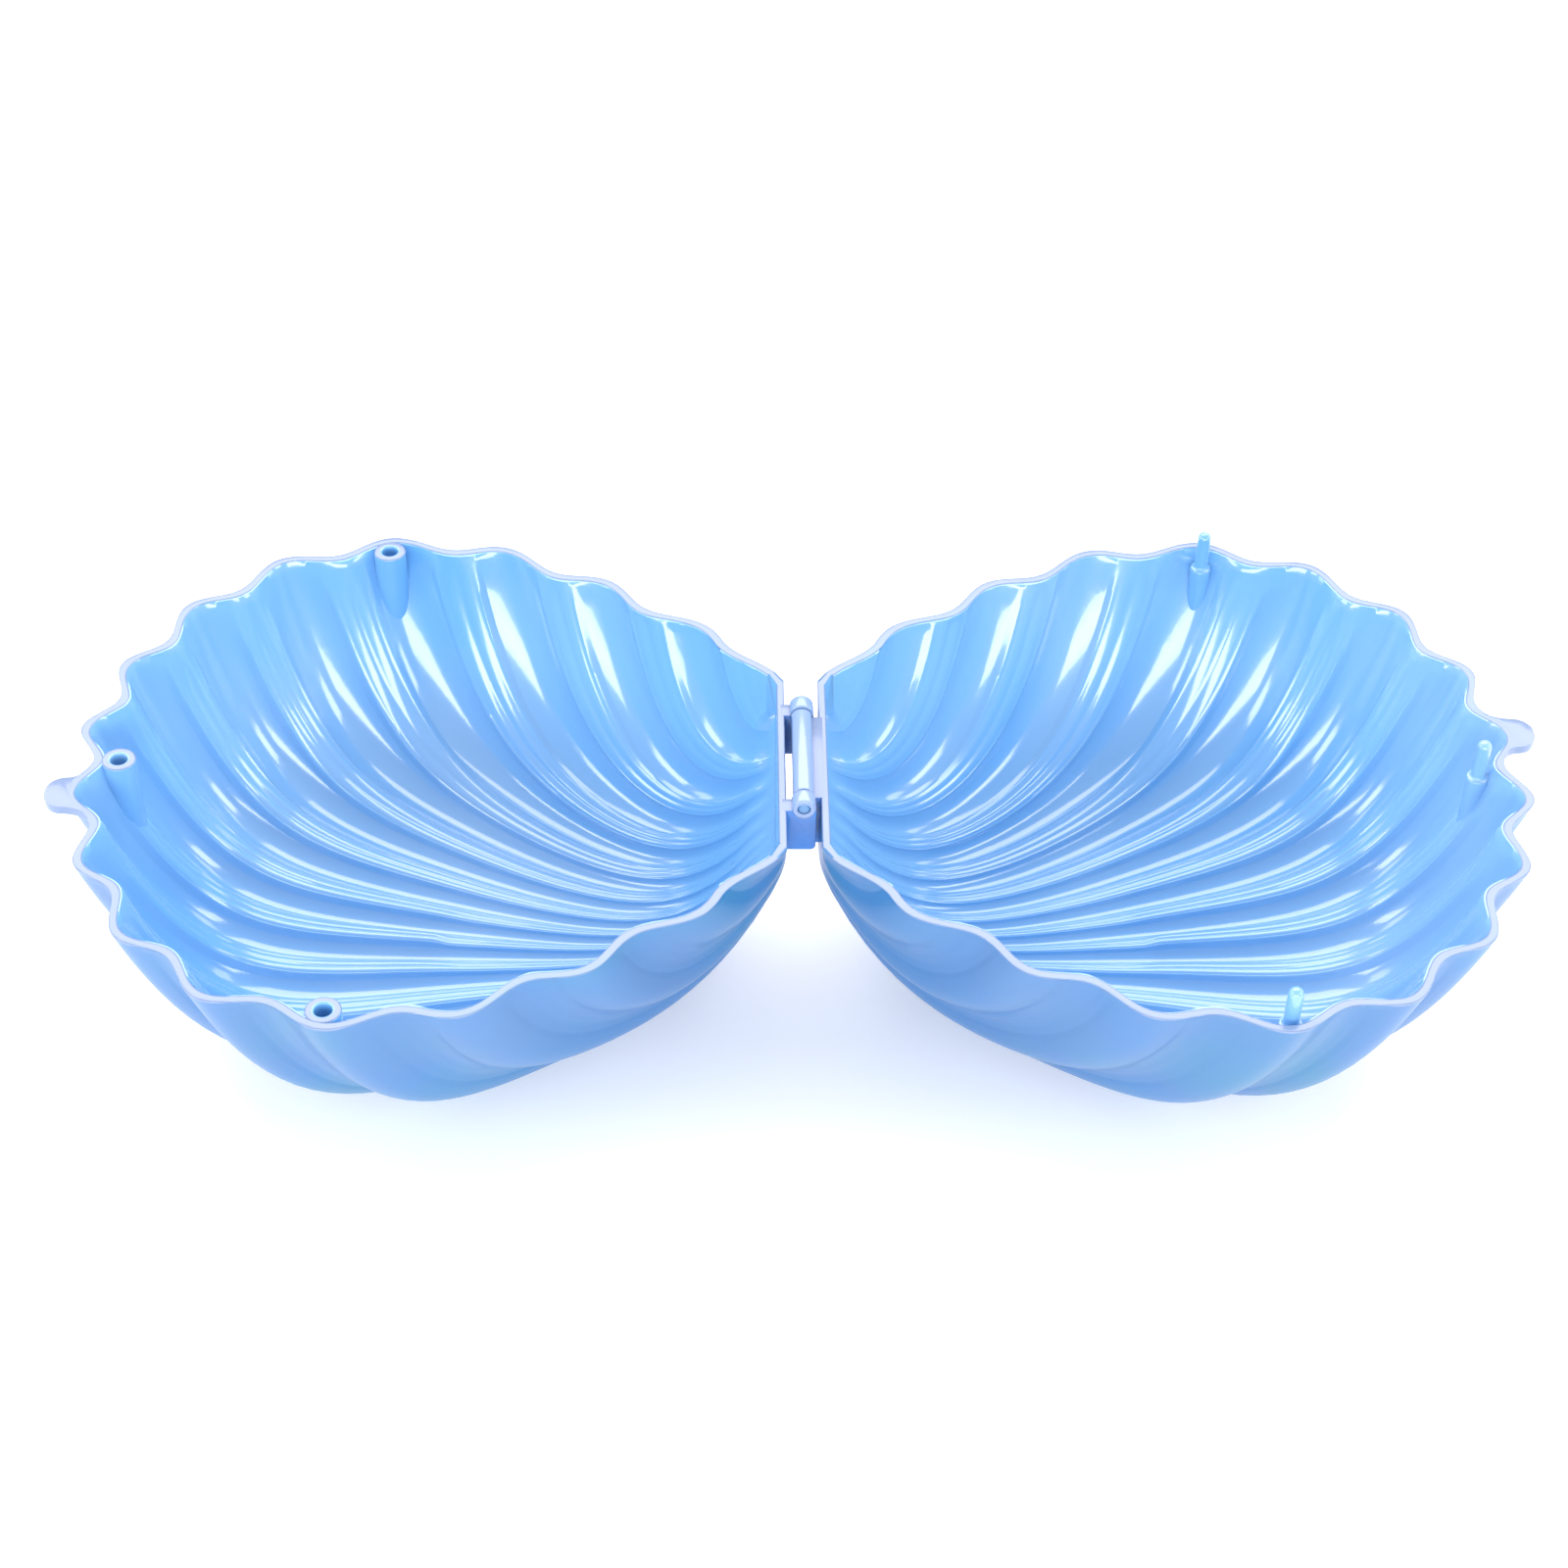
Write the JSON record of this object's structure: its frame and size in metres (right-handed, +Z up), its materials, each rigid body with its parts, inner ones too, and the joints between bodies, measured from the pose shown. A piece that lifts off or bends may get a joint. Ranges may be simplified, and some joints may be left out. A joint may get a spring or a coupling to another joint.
{
  "type": "hinged shell case",
  "caption": "Hinged scallop-shell case, opened flat: two ribbed bowl valves joined by a barrel hinge, with locating pins, sockets and thumb tabs.",
  "frame": {"origin": "middle of the hinge line in plan, on the surface that both valves rest on", "axes": "+X from the base valve (sockets) across the hinge to the lid valve (pins), +Y along the hinge line, +Z up out of the open bowls"},
  "size_m": [0.2436, 0.1216, 0.0502],
  "materials": {
    "shell_plastic": "pearlescent gloss",
    "barrel_plastic": "pearlescent gloss",
    "pin_plastic": "gloss"
  },
  "bodies": {
    "base": {"base_valve": "shell_plastic", "base_tab": "shell_plastic", "socket_far": "shell_plastic", "socket_lip": "shell_plastic", "socket_near": "shell_plastic", "base_knuckle_far": "barrel_plastic", "base_knuckle_near": "barrel_plastic", "base_bracket_far": "shell_plastic", "base_bracket_near": "shell_plastic", "hinge_pin": "pin_plastic"},
    "lid": {"lid_valve": "shell_plastic", "lid_tab": "shell_plastic", "locator_far": "shell_plastic", "locator_lip": "shell_plastic", "locator_near": "shell_plastic", "lid_knuckle": "barrel_plastic", "lid_bracket": "shell_plastic"}
  },
  "joints": [
    {"name": "lid_hinge", "type": "hinge", "parent": "base", "child": "lid", "pos_m": [0, 0, 0.04539], "axis": [0, -1, 0], "range_deg": [0, 180]}
  ]
}
